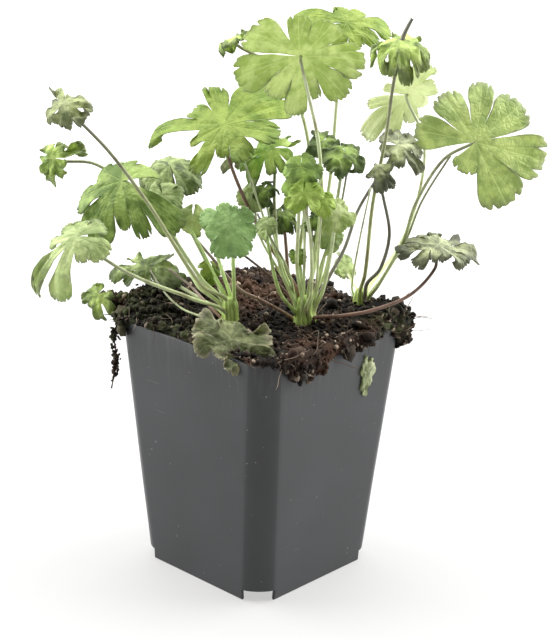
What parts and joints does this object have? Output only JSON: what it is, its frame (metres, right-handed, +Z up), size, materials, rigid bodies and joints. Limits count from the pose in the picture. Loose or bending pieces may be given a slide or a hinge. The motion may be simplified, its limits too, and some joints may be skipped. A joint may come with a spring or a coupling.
{
  "type": "potted hardy geranium",
  "caption": "Hardy geranium in a square tapered nursery pot: round lobed leaves, open or folded, on long thin stalks from low crowns in a peat root ball that spills over the rim.",
  "frame": {"origin": "middle of the whole object's box, on the plane that the pot's foot stands on; the pot's own axis is 2.0 mm to -X and 1.5 mm to +Y of it", "axes": "+Z up; the pot's straight walls run along X and Y, and the corner that faces the viewer in the picture is the one at +X, -Y"},
  "size_m": [0.1822, 0.1664, 0.2447],
  "materials": {
    "pot_plastic": "dark grey thermoformed plastic, satin, dusty near the rim",
    "peat": "moist crumbly peat with fibres and pale flecks",
    "crown_flesh": "bright green fleshy rootstock with papery bases",
    "leaf_green": "soft downy leaf, thin enough for light to shine through",
    "stalk_green": "smooth leaf stalk with short hairs, green to reddish brown",
    "fallen_leaf": "wilted grey-green leaf with brown blotches",
    "dry_root": "dry brown rootlet with peat clinging to it",
    "dry_scrap": "dried yellow-green leaf scrap"
  },
  "bodies": {
    "root": {"pot": "pot_plastic", "root_ball": "peat", "crown_left": "crown_flesh", "crown_main": "crown_flesh", "crown_right": "crown_flesh", "blade_far_left": "leaf_green", "stalk_far_left": "stalk_green", "blade_left_cup": "leaf_green", "stalk_left_cup": "stalk_green", "blade_left_big": "leaf_green", "stalk_left_big": "stalk_green", "blade_left_back": "leaf_green", "stalk_left_back": "stalk_green", "blade_left_inner": "leaf_green", "stalk_left_inner": "stalk_green", "blade_blue_green": "leaf_green", "stalk_blue_green": "stalk_green", "blade_left_low": "leaf_green", "stalk_left_low": "stalk_green", "blade_soil_low": "leaf_green", "stalk_soil_low": "stalk_green", "blade_mid_left_top": "leaf_green", "stalk_mid_left_top": "stalk_green", "blade_top_big": "leaf_green", "stalk_top_big": "stalk_green", "blade_top_second": "leaf_green", "stalk_top_second": "stalk_green", "blade_top_small": "leaf_green", "stalk_top_small": "stalk_green", "blade_right_fold": "leaf_green", "stalk_right_fold": "stalk_green", "blade_back_pale": "leaf_green", "stalk_back_pale": "stalk_green", "blade_right_big": "leaf_green", "stalk_right_big": "stalk_green", "blade_right_dry": "leaf_green", "stalk_right_dry": "stalk_green", "blade_right_grey": "leaf_green", "stalk_right_grey": "stalk_green", "blade_right_curl": "leaf_green", "stalk_right_curl": "stalk_green", "blade_centre_dark": "leaf_green", "stalk_centre_dark": "stalk_green", "blade_centre_green": "leaf_green", "stalk_centre_green": "stalk_green", "blade_centre_bright": "leaf_green", "stalk_centre_bright": "stalk_green", "blade_centre_pale": "leaf_green", "stalk_centre_pale": "stalk_green", "blade_centre_fold": "leaf_green", "stalk_centre_fold": "stalk_green", "blade_low_pale": "leaf_green", "stalk_low_pale": "stalk_green", "blade_low_dark": "leaf_green", "stalk_low_dark": "stalk_green", "blade_on_front_rim": "fallen_leaf", "blade_on_left_rim": "fallen_leaf", "root_strand": "dry_root", "wall_scrap": "dry_scrap"}
  },
  "joints": []
}
